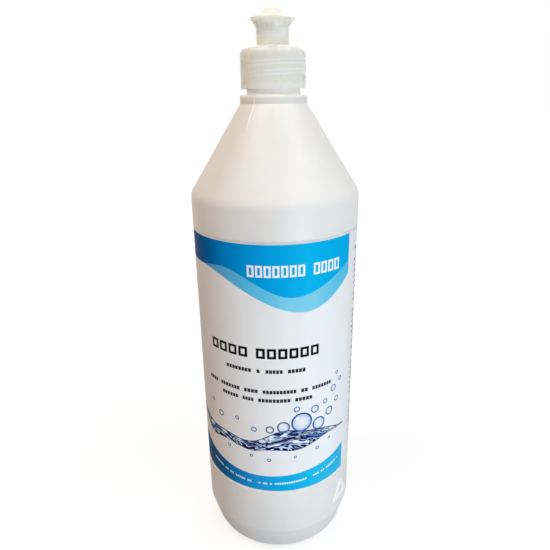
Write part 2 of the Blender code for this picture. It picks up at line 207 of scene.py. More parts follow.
class Finish:
    """A material with its shader. `node` adds any node, and the rest are short forms of it."""

    def __init__(self, name, **constants):
        self.material = bpy.data.materials.new(name)
        self.material.use_nodes = True
        self.tree = self.material.node_tree
        self.tree.nodes.clear()
        self.output = self.node("ShaderNodeOutputMaterial")
        self.shader = self.node("ShaderNodeBsdfPrincipled", inputs=constants)
        self.tree.links.new(self.output.inputs["Surface"], self.shader.outputs["BSDF"])

    def node(self, kind, settings=None, inputs=None):
        made = self.tree.nodes.new(kind)
        for name, value in (settings or {}).items():
            setattr(made, name, value)
        for name, value in (inputs or {}).items():
            feed(self.tree, made.inputs[name], value)
        return made

    def drive(self, name, value):
        """Feeds an input of the shader."""
        feed(self.tree, self.shader.inputs[name], value)

    def point(self):
        """The place on the piece, in metres, as a vector socket."""
        return self.node("ShaderNodeTexCoord").outputs["Object"]

    def parts(self, vector):
        made = self.node("ShaderNodeSeparateXYZ", inputs={"Vector": vector})
        return [Signal(self.tree, made.outputs[axis]) for axis in "XYZ"]

    def join(self, x, y, z):
        return self.node("ShaderNodeCombineXYZ", inputs={"X": x, "Y": y, "Z": z}).outputs["Vector"]

    def round_the_axis(self):
        """Turn round +Z in radians, 0 at the front and growing to the right, and the height in metres."""
        x, y, z = self.parts(self.point())
        return x.math("ARCTAN2", x, y * -1.0), z

    def height(self):
        """The height on the piece, in metres."""
        return self.parts(self.point())[2]

    def mix(self, first, second, factor):
        made = self.node("ShaderNodeMix", {"data_type": "RGBA"}, {0: factor, 6: first, 7: second})
        return made.outputs[2]

    def ramp(self, factor, stops):
        """A colour from stops, each a position from 0 to 1 with its colour."""
        made = self.node("ShaderNodeValToRGB", inputs={"Fac": factor})
        elements = made.color_ramp.elements
        while len(elements) < len(stops):
            elements.new(1.0)
        for element, (position, colour) in zip(elements, stops):
            element.position = position
            element.color = (*colour, 1.0)
        return made.outputs["Color"]

    def noise(self, vector, scale, detail=2.0, distortion=0.0):
        made = self.node("ShaderNodeTexNoise", inputs={
            "Vector": vector, "Scale": scale, "Detail": detail, "Distortion": distortion})
        return Signal(self.tree, made.outputs[0])

    def chance(self, x, y):
        """A fixed random number for each pair of whole numbers."""
        place = self.join(x, y, 0.0)
        made = self.node("ShaderNodeTexWhiteNoise", {"noise_dimensions": "2D"}, {"Vector": place})
        return Signal(self.tree, made.outputs["Value"])

    def bump(self, height, distance):
        made = self.node("ShaderNodeBump", inputs={"Height": height, "Distance": distance})
        self.drive("Normal", made.outputs["Normal"])

    def shade(self, colour, cover):
        """Lays a colour over the base colour, as far as cover says."""
        under = self.shader.inputs["Base Color"].links[0].from_socket
        self.drive("Base Color", self.mix(under, colour, cover))


def tinted(colour, factor):
    return tuple(min(1.0, channel * factor) for channel in colour)


def select_only(piece):
    if bpy.context.mode != "OBJECT":
        bpy.ops.object.mode_set(mode="OBJECT")
    bpy.ops.object.select_all(action="DESELECT")
    piece.select_set(True)
    bpy.context.view_layer.objects.active = piece


def smooth_node(name, material):
    """Gives a CAD node its finish, with soft shading between its sharp edges."""
    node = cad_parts[name]
    select_only(node)
    bpy.ops.mesh.customdata_custom_splitnormals_clear()
    bpy.ops.object.shade_smooth()
    weld = node.modifiers.new("join_triangles", "WELD")
    weld.merge_threshold = WELD_DISTANCE
    split = node.modifiers.new("keep_sharp_edges", "EDGE_SPLIT")
    split.split_angle = SMOOTH_LIMIT
    node.data.materials.clear()
    node.data.materials.append(material)


def start_piece(name):
    """Takes the primitive that was just added as a piece, and moves its place into its mesh."""
    piece = bpy.context.object
    piece.name = name
    piece.data.name = name
    bpy.ops.object.transform_apply(location=True, rotation=True, scale=True)
    return piece


def pick(piece, kind, wanted):
    """In edit mode, selects the faces or edges whose middle passes the test."""
    bpy.ops.object.mode_set(mode="OBJECT")
    mesh = piece.data
    for group in (mesh.vertices, mesh.edges, mesh.polygons):
        for item in group:
            item.select = False
    if kind == "FACE":
        for face in mesh.polygons:
            face.select = bool(wanted(face.center, face.normal))
    else:
        for edge in mesh.edges:
            ends = [mesh.vertices[index].co for index in edge.vertices]
            edge.select = bool(wanted((ends[0] + ends[1]) / 2.0, ends[1] - ends[0]))
    bpy.ops.object.mode_set(mode="EDIT")
    bpy.ops.mesh.select_mode(type=kind)


def finish_piece(piece, material, body):
    """Closes a modelled piece: outward faces, soft shading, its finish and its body."""
    select_only(piece)
    bpy.ops.object.mode_set(mode="EDIT")
    bpy.ops.mesh.select_all(action="SELECT")
    bpy.ops.mesh.remove_doubles(threshold=SAME_PLACE)
    bpy.ops.mesh.normals_make_consistent(inside=False)
    bpy.ops.object.mode_set(mode="OBJECT")
    bpy.ops.object.shade_smooth_by_angle(angle=SMOOTH_LIMIT)
    piece.data.materials.clear()
    piece.data.materials.append(material)
    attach(piece, body)


def apply_modifier(piece, kind, **settings):
    select_only(piece)
    modifier = piece.modifiers.new(kind.lower(), kind)
    for name, value in settings.items():
        setattr(modifier, name, value)
    bpy.ops.object.modifier_apply(modifier=modifier.name)


def turn_round_axis(piece, angle):
    piece.data.transform(Matrix.Rotation(angle, 4, "Z"))


def moulded_finish(name, colour, roughness, grain, **constants):
    """Plain moulded plastic: slow changes of tone and gloss, and a fine grain on the surface."""
    finish = Finish(name, **constants)
    point = finish.point()
    tone = finish.noise(point, 38.0, 3.0)
    gloss = finish.noise(point, 160.0)
    fine = finish.noise(point, 1500.0)
    wide = finish.noise(point, 90.0, 1.0)
    body = finish.mix(tinted(colour, 0.97), tinted(colour, 1.02), tone.rising(0.3, 0.7))
    finish.drive("Base Color", body)
    finish.drive("Roughness", gloss * 0.08 + (roughness - 0.04))
    finish.bump(fine * 0.35 + wide, grain)
    return finish


# Painted shade of the ring, as a share of the wall's colour, and painted glow of the neck near the cap
# and near the ring
RING_PAINTED_SHADE = 0.86
NECK_PAINTED_GLOW = (0.09, 0.09, 0.09)
NECK_LOW_PAINTED_GLOW = (0.21, 0.215, 0.22)
NO_GLOW = (0.0, 0.0, 0.0)


def bottle_finish(settings):
    """Blown white plastic, with painted shade on the ring and a painted glow at the neck's root."""
    colour = tuple(settings.wall_colour)
    finish = moulded_finish("blown_white_plastic", colour, 0.42, 0.00006, **{
        "Specular IOR Level": 0.4, "Subsurface Weight": 0.5, "Subsurface Scale": 0.004,
        "Subsurface Radius": (1.0, 1.0, 1.0), "Emission Strength": 1.0})
    height = finish.height()
    # Painted shade: the ring's face, below its top edge, is a darker copy of the wall's colour
    finish.shade(tinted(colour, RING_PAINTED_SHADE), height.between(RING_Z - 0.0001, RING_TOP_Z - 0.0010, 0.0002))
    # Painted glow: the strip of neck between ring and cap gives off a faint light, stronger near the
    # ring, in place of light through the plastic
    glow = finish.mix(NECK_PAINTED_GLOW, NECK_LOW_PAINTED_GLOW, height.falling(RING_TOP_Z, CAP_LOW_Z))
    root = height.between(RING_TOP_Z + 0.0003, CAP_LOW_Z + 0.0006, 0.0004)
    finish.drive("Emission Color", finish.mix(NO_GLOW, glow, root))
    return finish


class SOAP_OT_bottle_wall(bpy.types.Operator):
    """Finishes the blown bottle in white plastic with a fine grain"""

    bl_idname = "soap_bottle.wall"
    bl_label = "Bottle wall"

    def execute(self, context):
        smooth_node("bottle", bottle_finish(context.scene.soap_bottle).material)
        return {"FINISHED"}


# The label's print, in millimetres: across is round the wall from the front to the right, and up is
# from the foot. The printed panel is the front of the label, and EDGE is half the softness of a line.
EDGE = 0.06
PANEL_LEFT, PANEL_RIGHT = -57.0, 41.7
FIELD_BELOW_TOP = 0.2

# Rows of blocks: each word's left and right end, the row's height, the blocks' size, pace and stroke
TITLE_WORDS = ((-37.6, -14.3), (-10.9, 21.5))
TITLE_UP, TITLE_TALL, TITLE_STEP, TITLE_STROKE = 127.8, 5.5, 5.6, 1.3
BRIGHT_WORDS = ((-13.9, 13.7), (17.3, 33.2))
BRIGHT_UP, BRIGHT_TALL, BRIGHT_STEP, BRIGHT_STROKE = 169.3, 5.6, 3.7, 1.0
SMALL_LINES = (
    (118.1, ((-27.3, -13.1), (-10.5, -8.7), (-6.0, 2.6), (4.9, 14.0))),
    (106.6, ((-41.2, -34.2), (-32.0, -19.8), (-17.5, -9.9), (-7.7, 9.3), (11.5, 15.3), (17.6, 29.5))),
    (101.7, ((-31.0, -20.8), (-18.5, -12.3), (-10.1, 6.3), (8.5, 17.8))),
)
SMALL_TALL, SMALL_STEP = 2.0, 1.75
BLOCK_HALF_SHARE = 0.41

# Small print beside the panel, and the row of dashes on the lower band
SIDE_ACROSS, SIDE_UP = (50.8, 116.0), (63.0, 173.0)
SIDE_LINE, SIDE_DASH, SIDE_LINES_TO_A_GAP = 3.1, 1.7, 9.0
BAND_DASH, BAND_DASH_ACROSS, BAND_DASH_HALF_TALL = 1.25, (-42.0, 37.0), 0.55
BAND_DASH_BELOW_TOP, BAND_DASH_LIFT = 4.9, 0.8

# Hanging edges: the lowest point across and up, then the span and rise to its left and to its right
LOW_EDGE = (14.0, 148.6, (56.0, 19.6), (50.0, 23.0))
TIP_EDGE = (8.0, 156.4, (36.0, 13.4), (46.0, 15.0))
TIP_SAG_START, TIP_SAG = -28.0, (16.0, 1.6)

# The lower band's edge: its lowest point across and up, then the span and rise of each side
BAND_MIDDLE, BAND_UP = -11.0, 55.2
BAND_LEFT_SIDE, BAND_RIGHT_SIDE = (34.0, 5.4), (49.5, 6.2)

# Water: waves of its upper edge and of its depth, each with radians to a millimetre, start and height,
# the swell in its middle, and the lengths over which it thins out at its left and right ends
CREST_WAVES, DEPTH_WAVE = ((0.085, 0.6, 2.2), (0.23, 2.0, 0.9)), (0.11, 1.2, 1.6)
WATER_UP, WATER_DEPTH, WATER_LEAST_DEPTH = 78.4, 6.0, 0.3
SWELL_MIDDLE, SWELL_REACH, SWELL_RISE, SWELL_DEPTH = 7.0, 20.0, 3.6, 4.4
WATER_LEFT_END, WATER_RIGHT_END = 16.0, 22.0

# Bubbles: middle across, middle up and radius
BUBBLES = (
    (12.1, 87.9, 5.2), (21.8, 84.7, 3.4), (2.6, 86.0, 3.0), (28.6, 89.5, 2.2), (19.4, 93.9, 2.0),
    (-4.4, 84.6, 1.9), (9.5, 96.0, 1.4), (25.8, 96.3, 1.2), (34.1, 94.4, 1.3), (-12.7, 83.9, 1.3),
    (31.4, 101.9, 1.7), (36.9, 105.3, 1.0), (-22.2, 88.4, 0.9), (-33.3, 86.9, 1.5), (-39.9, 92.5, 0.8),
    (33.9, 110.1, 0.8), (-28.3, 69.1, 0.8), (-14.6, 67.3, 0.6), (-5.1, 65.7, 0.8), (8.7, 67.1, 0.6),
    (21.2, 69.3, 0.9), (29.1, 72.4, 0.6),
)
LARGE_BUBBLE = 1.8
GLINT_SHIFT = 0.42

# Colours from the panel's left side to its right, and of the water from its troughs to its crests
DARK_FIELD = ((0.0, srgb(2, 66, 112)), (0.10, srgb(2, 80, 142)), (0.21, srgb(2, 102, 184)),
              (0.30, srgb(0, 131, 208)), (0.46, srgb(2, 152, 223)), (0.64, srgb(3, 169, 228)),
              (0.73, srgb(8, 180, 232)), (0.83, srgb(3, 172, 227)), (1.0, srgb(3, 170, 227)))
LIGHT_FIELD = ((0.0, srgb(70, 146, 206)), (0.26, srgb(92, 168, 224)), (0.44, srgb(90, 190, 230)),
               (0.54, srgb(100, 198, 233)), (0.64, srgb(126, 206, 234)), (0.76, srgb(128, 205, 230)),
               (0.88, srgb(98, 194, 226)), (1.0, srgb(84, 190, 228)))
BAND_FIELD = ((0.0, srgb(0, 66, 110)), (0.12, srgb(6, 82, 130)), (0.24, srgb(8, 96, 156)),
              (0.34, srgb(22, 128, 196)), (0.45, srgb(30, 153, 221)), (0.60, srgb(8, 172, 228)),
              (0.73, srgb(24, 183, 228)), (0.85, srgb(44, 184, 226)), (1.0, srgb(50, 178, 222)))
PALE_WATER = ((0.30, srgb(250, 252, 254)), (0.41, srgb(198, 220, 240)), (0.445, srgb(28, 58, 132)),
              (0.47, srgb(246, 250, 253)), (0.53, srgb(214, 230, 245)), (0.56, srgb(96, 146, 206)),
              (0.585, srgb(30, 62, 140)), (0.61, srgb(248, 251, 254)))
DARK_WATER = ((0.34, srgb(70, 112, 176)), (0.37, srgb(12, 26, 84)), (0.455, srgb(8, 18, 66)),
              (0.475, srgb(234, 242, 250)), (0.505, srgb(138, 180, 224)), (0.52, srgb(12, 30, 94)),
              (0.58, srgb(10, 22, 76)), (0.605, srgb(228, 239, 249)))
NAVY = srgb(18, 36, 100)
BUBBLE_RIM = ((0.42, NAVY), (0.6, srgb(40, 104, 188)))
BUBBLE_TINT = srgb(120, 172, 222)
BLACK_INK = srgb(18, 18, 22)
GREY_INK = srgb(74, 76, 84)
SMALL_INK = srgb(44, 46, 54)
WHITE_INK = srgb(240, 244, 246)


def greatest(signals):
    """The greatest of several numbers at each point, such as masks laid together."""
    total = signals[0]
    for signal in signals[1:]:
        total = total.at_least(signal)
    return total


def eased(distance, span, rise):
    """A smooth climb of rise over span."""
    return distance.rising(0.0, span) * rise


def curved(distance, span, rise):
    """A climb that starts flat and has reached rise after span."""
    return (distance.at_least(0.0) * (1.0 / span)) ** 2.0 * rise


def wave(along, rate, start, height):
    return (along * rate + start).sine() * height


def hanging(across, middle, lowest, left, right):
    """The height of an edge that hangs down to its lowest point and eases up on both sides."""
    return eased(middle - across, *left) + eased(across - middle, *right) + lowest


class LabelPrint(Finish):
    """The label's film and its print, laid on layer by layer."""

    def __init__(self, name, film):
        super().__init__(name, **{"Specular IOR Level": 0.01})
        turn, height = self.round_the_axis()
        self.across = turn * (WALL_RADIUS / MM)
        self.up = height * (1.0 / MM)
        self.share = (self.across - PANEL_LEFT) * (1.0 / (PANEL_RIGHT - PANEL_LEFT))
        self.panel = self.across.between(PANEL_LEFT, PANEL_RIGHT, EDGE)
        tone = self.noise(self.join(self.across * 0.08, self.up * 0.02, 0.0), 1.0)
        self.colour = self.mix(tinted(film, 0.975), tinted(film, 1.015), tone.rising(0.3, 0.7))

    def ink(self, colour, cover):
        """Prints a colour over the layers below, as far as cover says."""
        self.colour = self.mix(self.colour, colour, cover)

    def blocks(self, spans, middle, tall, step, stroke):
        """A row of small upright boxes in place of letters: open where stroke is set, else filled."""
        words = []
        for left, right in spans:
            pace = (right - left) / round((right - left) / step)
            along = abs((self.across - left) % pace - pace / 2.0)
            away = abs(self.up - middle)
            wide, high = pace * BLOCK_HALF_SHARE, tall / 2.0
            word = along.falling(wide - EDGE, wide + EDGE) * away.falling(high - EDGE, high + EDGE)
            if stroke:
                wide, high = wide - stroke, high - stroke
                hole = along.falling(wide - EDGE, wide + EDGE) * away.falling(high - EDGE, high + EDGE)
                word = word * (1.0 - hole)
            words.append(word * self.across.between(left, right, EDGE / 2.0))
        return greatest(words)

    def side_text(self):
        """Short grey dashes in rows beside the panel."""
        row = self.up // SIDE_LINE
        dash = self.chance(self.across // SIDE_DASH, row).above(0.2)
        line = (self.up % SIDE_LINE).between(0.8, 2.0, EDGE) * (row % SIDE_LINES_TO_A_GAP).above(0.5)
        place = self.across.between(*SIDE_ACROSS, EDGE) * self.up.between(*SIDE_UP, EDGE)
        self.ink(GREY_INK, dash * line * place * 0.85)

    def top_field(self):
        """Two blues that hang from the label's top, the darker one over the paler one."""
        top = LABEL_HIGH.z / MM - FIELD_BELOW_TOP
        field = self.panel * self.up.falling(top - 0.05, top + 0.05)
        low_edge = hanging(self.across, *LOW_EDGE)
        tip_edge = hanging(self.across, *TIP_EDGE) - eased(TIP_SAG_START - self.across, *TIP_SAG)
        self.ink(self.ramp(self.share, LIGHT_FIELD), field * (self.up - low_edge).rising(-EDGE, EDGE))
        self.ink(self.ramp(self.share, DARK_FIELD), field * (self.up - tip_edge).rising(-EDGE, EDGE))

    def words(self):
        """The bright row on the field, the title row and the small rows below it."""
        self.ink(WHITE_INK, self.blocks(BRIGHT_WORDS, BRIGHT_UP, BRIGHT_TALL, BRIGHT_STEP, BRIGHT_STROKE))
        self.ink(BLACK_INK, self.blocks(TITLE_WORDS, TITLE_UP, TITLE_TALL, TITLE_STEP, TITLE_STROKE))
        self.ink(SMALL_INK, greatest([
            self.blocks(spans, up, SMALL_TALL, SMALL_STEP, 0.0) for up, spans in SMALL_LINES]))

    def water(self):
        """A strip of rippled water with a swell in its middle and a dark rim; returns its swirl."""
        across, up = self.across, self.up
        long_wave, short_wave = [wave(across, *values) for values in CREST_WAVES]
        swell = abs(across - SWELL_MIDDLE).falling(0.0, SWELL_REACH)
        left_end = across.rising(PANEL_LEFT, PANEL_LEFT + WATER_LEFT_END)
        ends = left_end * across.falling(PANEL_RIGHT - WATER_RIGHT_END, PANEL_RIGHT)
        depth = (wave(across, *DEPTH_WAVE) + swell * SWELL_DEPTH + WATER_DEPTH) * ends + WATER_LEAST_DEPTH
        below = long_wave + short_wave + swell * SWELL_RISE + WATER_UP - up
        inside = below.rising(-EDGE, EDGE) * (below - depth).falling(-EDGE, EDGE)
        swirl = self.noise(self.join(across * 0.06 - below * 0.04, below * 0.16, 2.3), 1.0, 2.5, 2.0)
        drift = self.noise(self.join(across * 0.05, up * 0.09, 7.1), 1.0, 2.0, 1.0)
        deep = (drift + (below - 1.6) * 0.03).rising(0.38, 0.46)
        ripple = self.mix(self.ramp(swirl, PALE_WATER), self.ramp(swirl, DARK_WATER), deep)
        self.ink(ripple, inside * self.panel)
        low_rim = abs(below - depth).falling(0.14, 0.26) * drift.rising(0.4, 0.5)
        self.ink(NAVY, abs(below).falling(0.22, 0.36).at_least(low_rim) * self.panel)
        return swirl

    def bubbles(self, swirl):
        """Tinted discs with a dark rim, and a glint on the large ones."""
        rims, tints, glints = [], [], []
        for middle, level, radius in BUBBLES:
            away = ((self.across - middle) ** 2.0 + (self.up - level) ** 2.0).root()
            wall = 0.12 + 0.045 * radius
            rims.append(abs(away - radius).falling(wall, wall + 0.14))
            tints.append(away.falling(radius - EDGE, radius + EDGE) * (away * (1.0 / radius)) ** 2.5)
            if radius > LARGE_BUBBLE:
                aside = self.across - (middle - GLINT_SHIFT * radius)
                above = self.up - (level + GLINT_SHIFT * radius)
                shine = (aside ** 2.0 + above ** 2.0).root()
                glints.append(shine.falling(0.16 * radius, 0.24 * radius))
        self.ink(BUBBLE_TINT, greatest(tints) * 0.75)
        self.ink(self.ramp(swirl, BUBBLE_RIM), greatest(rims))
        self.ink(WHITE_INK, greatest(glints))

    def low_band(self):
        """The blue band along the panel's lower end, with a row of white dashes."""
        lift = curved(BAND_MIDDLE - self.across, *BAND_LEFT_SIDE) + curved(
            self.across - BAND_MIDDLE, *BAND_RIGHT_SIDE)
        bottom = LABEL_LOW.z / MM + FIELD_BELOW_TOP
        under_edge = (lift + BAND_UP - self.up).rising(-EDGE, EDGE)
        band = self.panel * under_edge * self.up.rising(bottom - 0.05, bottom + 0.05)
        self.ink(self.ramp(self.share, BAND_FIELD), band)
        level = self.up - lift * BAND_DASH_LIFT - (BAND_UP - BAND_DASH_BELOW_TOP)
        along = self.across % BAND_DASH
        dash = self.chance(self.across // BAND_DASH, 3.0).above(0.28) * along.between(0.12, 1.13, EDGE)
        dash = dash * level.between(-BAND_DASH_HALF_TALL, BAND_DASH_HALF_TALL, EDGE)
        self.ink(WHITE_INK, dash * self.across.between(*BAND_DASH_ACROSS, EDGE) * 0.85)


def label_finish(settings):
    """White film with printed fields of blue, rows of blocks for the text, and water with bubbles."""
    finish = LabelPrint("printed_label_film", tuple(settings.film_colour))
    finish.side_text()
    finish.top_field()
    finish.words()
    finish.bubbles(finish.water())
    finish.low_band()
    finish.drive("Base Color", finish.colour)
    finish.drive("Roughness", finish.noise(finish.point(), 120.0) * 0.06 + 0.36)
    finish.bump(finish.noise(finish.point(), 70.0, 1.0), 0.00005)
    return finish


class SOAP_OT_label(bpy.types.Operator):
    """Prints the label's film with plain fields, rows of blocks, water and bubbles"""

    bl_idname = "soap_bottle.label"
    bl_label = "Printed label"

    def execute(self, context):
        smooth_node("label", label_finish(context.scene.soap_bottle).material)
        return {"FINISHED"}


# Colour and strength of the painted pale lines where parts behind the milky plastic show through
PAINTED_LINE_WHITE = (1.0, 0.99, 0.94)
PAINTED_LINE_STRENGTH = 0.8

# Levels on the spout's stem, in millimetres above its lower end
LIP_UP = 1.3
CATCH_LOW_UP, CATCH_HIGH_UP = 4.3, 5.3
RIBS_UP = (6.2, 10.2)
RIB_COUNT = 18.0


def milky_finish(name, colour, roughness, painted_lines):
    """Milky plastic with a faint painted glow of its own colour, and painted pale lines where what is
    behind it shows through; the last argument makes their mask.
    """
    finish = Finish(name, **{
        "Specular IOR Level": 0.5, "Subsurface Weight": 0.9, "Subsurface Scale": 0.0035,
        "Subsurface Radius": (1.0, 0.95, 0.85), "Emission Strength": 0.04})
    point = finish.point()
    tone = finish.noise(point, 110.0, 3.0)
    body = finish.mix(tinted(colour, 0.95), tinted(colour, 1.02), tone.rising(0.3, 0.7))
    # Painted light: pale lines where the parts behind the milky plastic show through
    finish.drive("Base Color", finish.mix(body, PAINTED_LINE_WHITE, painted_lines(finish)))
    # Painted glow: the plastic gives off a faint light of its own colour, though it is no lamp
    finish.drive("Emission Color", body)
    finish.drive("Roughness", finish.noise(point, 260.0) * 0.08 + (roughness - 0.04))
    finish.bump(finish.noise(point, 1200.0), 0.00003)
    return finish


def painted_thread_lines(finish):
    """Painted light: two pale lines along each turn of the thread behind the skirt, where it shows
    through, fading out on the left.
    """
    turn, height = finish.round_the_axis()
    turns = (turn - math.pi / 2.0) * (1.0 / (2.0 * math.pi))
    climb = height - THREAD_TOP_Z - turns * THREAD_PITCH + 0.5 * THREAD_PITCH
    off = abs(climb % THREAD_PITCH - 0.5 * THREAD_PITCH) * (1.0 / MM)
    line = abs(off - 0.8).falling(0.1, 0.6)
    on_thread = height.between(THREAD_LOW_Z - 0.001, THREAD_TOP_Z + 0.0012, 0.0006)
    return line * on_thread * turn.rising(-1.3, 0.1) * PAINTED_LINE_STRENGTH


def painted_catch_lines(finish):
    """Painted light: pale rings at the catch ring and a short one at the lip, and faint upright lines at
    the ribs, where they show through.
    """
    turn, height = finish.round_the_axis()
    up = (height - SPOUT_LOW_Z) * (1.0 / MM)
    rings = abs(up - CATCH_HIGH_UP).falling(0.1, 0.34).at_least(abs(up - CATCH_LOW_UP).falling(0.1, 0.34))
    short = abs(up - LIP_UP).falling(0.12, 0.36) * turn.between(-0.45, 0.75, 0.15)
    off_rib = abs(turn * (RIB_COUNT / (2.0 * math.pi)) % 1.0 - 0.5)
    ribs = off_rib.falling(0.08, 0.2) * up.between(*RIBS_UP, 0.8)
    return rings.at_least(short).at_least(ribs * 0.7) * PAINTED_LINE_STRENGTH


class SOAP_OT_closure(bpy.types.Operator):
    """Finishes the screw cap and the pull spout in milky plastic"""

    bl_idname = "soap_bottle.closure"
    bl_label = "Cap and spout"

    def execute(self, context):
        settings = context.scene.soap_bottle
        smooth_node("screw_cap", milky_finish(
            "milky_cap_plastic", tuple(settings.cap_colour), 0.28, painted_thread_lines).material)
        smooth_node("pull_spout", milky_finish(
            "milky_spout_plastic", tuple(settings.spout_colour), 0.27, painted_catch_lines).material)
        return {"FINISHED"}


PARTING_AZIMUTH = math.radians(-33.6)
SEAM_SINK = 0.0003
SEAM_FIRST_STEP = 0.0004
SEAM_DOWN_THE_CONE = 0.0121
SEAM_BELOW_RING_TOP = 0.0004
SEAM_TIP_SHARE = 0.3
SEAM_BEVEL = 0.00006
PINCH_WIDTH, PINCH_HEIGHT = 0.0007, 0.0006
PINCH_END_SHARE = 0.2
SMALL_BEVEL = 0.0001


def parting_strips(settings):
    """Two thin strips up the cone and the ring, front and back, that taper out at their lower ends."""
    proud = settings.seam_height
    cone_out = SEAM_DOWN_THE_CONE * (WALL_RADIUS - RING_RADIUS) / (RING_Z - SHOULDER_Z)
    foot = Vector((
        RING_RADIUS + cone_out + (proud - SEAM_SINK) / 2.0, 0.0, RING_Z - SEAM_DOWN_THE_CONE))
    bpy.ops.mesh.primitive_cube_add(
        size=1.0, location=foot, scale=(proud + SEAM_SINK, settings.seam_width, SEAM_FIRST_STEP))
    strip = start_piece("parting_line_front")
    half_way = Vector((-cone_out * 0.5, 0.0, SEAM_DOWN_THE_CONE * 0.5))
    steps = (
        half_way,
        half_way - Vector((0.0, 0.0, SEAM_FIRST_STEP / 2.0)),
        Vector((0.0, 0.0, RING_TOP_Z - RING_Z - SEAM_BELOW_RING_TOP)),
    )
    for step in steps:
        top = max(vertex.co.z for vertex in strip.data.vertices)
        pick(strip, "FACE", lambda middle, normal: middle.z > top - 1e-6)
        bpy.ops.mesh.extrude_region_move(TRANSFORM_OT_translate={"value": step})
        bpy.ops.object.mode_set(mode="OBJECT")
    low = min(vertex.co.z for vertex in strip.data.vertices)
    pick(strip, "FACE", lambda middle, normal: middle.z < low + 1e-6)
    bpy.ops.transform.resize(value=(1.0, SEAM_TIP_SHARE, 1.0), center_override=foot)
    bpy.ops.transform.translate(value=(-proud * 1.4, 0.0, 0.0))
    bpy.ops.object.mode_set(mode="OBJECT")
    apply_modifier(strip, "BEVEL", width=SEAM_BEVEL, segments=2, limit_method="ANGLE")
    select_only(strip)
    bpy.ops.object.duplicate()
    back = bpy.context.object
    back.name = "parting_line_back"
    turn_round_axis(strip, PARTING_AZIMUTH - math.pi / 2.0)
    turn_round_axis(back, PARTING_AZIMUTH + math.pi / 2.0)
    return strip, back


def base_pinch():
    """A low ridge across the base's push-up, thinner at both ends."""
    bpy.ops.object.select_all(action="DESELECT")
    bpy.ops.mesh.primitive_cube_add(
        size=1.0, location=(0.0, 0.0, PUSH_UP_Z), scale=(1.6 * PUSH_UP_REACH, PINCH_WIDTH, PINCH_HEIGHT))
    pinch = start_piece("pinch_line")
    for side in (-1.0, 1.0):
        pick(pinch, "FACE", lambda middle, normal: normal.x * side > 0.9)
        bpy.ops.mesh.extrude_region_move(
            TRANSFORM_OT_translate={"value": (side * PINCH_END_SHARE * PUSH_UP_REACH, 0.0, 0.0)})
        bpy.ops.transform.resize(value=(1.0, 0.4, 0.5), center_override=(0.0, 0.0, PUSH_UP_Z))
        bpy.ops.object.mode_set(mode="OBJECT")
    apply_modifier(pinch, "BEVEL", width=SMALL_BEVEL, segments=2, limit_method="ANGLE")
    turn_round_axis(pinch, PARTING_AZIMUTH - math.pi / 2.0)
    return pinch


class SOAP_OT_parting_line(bpy.types.Operator):
    """Models the mould's parting line on the ring and upper cone, front and back, and across the base"""

    bl_idname = "soap_bottle.parting_line"
    bl_label = "Parting line"

    def execute(self, context):
        settings = context.scene.soap_bottle
        # Painted highlight: the seam's plastic is a lighter copy of the wall's colour
        material = moulded_finish(
            "seam_plastic", tinted(tuple(settings.wall_colour), 1.10), 0.35, 0.00003).material
        for strip in parting_strips(settings):
            finish_piece(strip, material, "bottle_body")
        finish_piece(base_pinch(), material, "bottle_body")
        return {"FINISHED"}


MARK_AZIMUTH = math.radians(56.1)
MARK_Z = 0.0288
MARK_CORNER = 0.0016
MARK_BAND = 0.0021
MARK_SINK = 0.0003


class SOAP_OT_raised_mark(bpy.types.Operator):
    """Models the plain raised triangle low on the wall"""

    bl_idname = "soap_bottle.raised_mark"
    bl_label = "Raised triangle"

    def execute(self, context):
        settings = context.scene.soap_bottle
        bpy.ops.object.select_all(action="DESELECT")
        bpy.ops.mesh.primitive_circle_add(
            vertices=3, radius=settings.mark_side / math.sqrt(3.0), fill_type="NGON")
        mark = start_piece("raised_triangle")
        apex = max(mark.data.vertices, key=lambda vertex: vertex.co.length)
        turn_round_axis(mark, math.pi / 2.0 - math.atan2(apex.co.y, apex.co.x))
        bpy.ops.object.mode_set(mode="EDIT")
        bpy.ops.mesh.select_all(action="SELECT")
        bpy.ops.mesh.bevel(offset=MARK_CORNER, segments=4, affect="VERTICES")
        bpy.ops.mesh.inset(thickness=MARK_BAND)
        bpy.ops.mesh.delete(type="FACE")
        bpy.ops.mesh.select_all(action="SELECT")
        bpy.ops.mesh.subdivide(number_cuts=2)
        bpy.ops.object.mode_set(mode="OBJECT")
        thick = settings.mark_height + MARK_SINK
        apply_modifier(mark, "SOLIDIFY", thickness=thick, offset=0.0)
        for vertex in mark.data.vertices:
            x, y, z = vertex.co
            radius = WALL_RADIUS + settings.mark_height - thick / 2.0 + z
            turn = MARK_AZIMUTH + x / WALL_RADIUS
            vertex.co = (radius * math.sin(turn), -radius * math.cos(turn), MARK_Z + y)
        apply_modifier(mark, "BEVEL", width=SMALL_BEVEL, segments=2, limit_method="ANGLE")
        # Painted highlight: the triangle's plastic is a lighter copy of the wall's colour
        material = moulded_finish(
            "mark_plastic", tinted(tuple(settings.wall_colour), 1.12), 0.35, 0.00003).material
        finish_piece(mark, material, "bottle_body")
        return {"FINISHED"}


CAP_THREAD_TURNS = 1.75
CAP_THREAD_SINK = 0.00005
CAP_THREAD_ROOT_WIDTH = 0.0019
CAP_THREAD_CREST_SHARE = 0.48
CAP_THREAD_STEPS = 48
CAP_THREAD_RUN_OUT = 0.4 * THREAD_PITCH


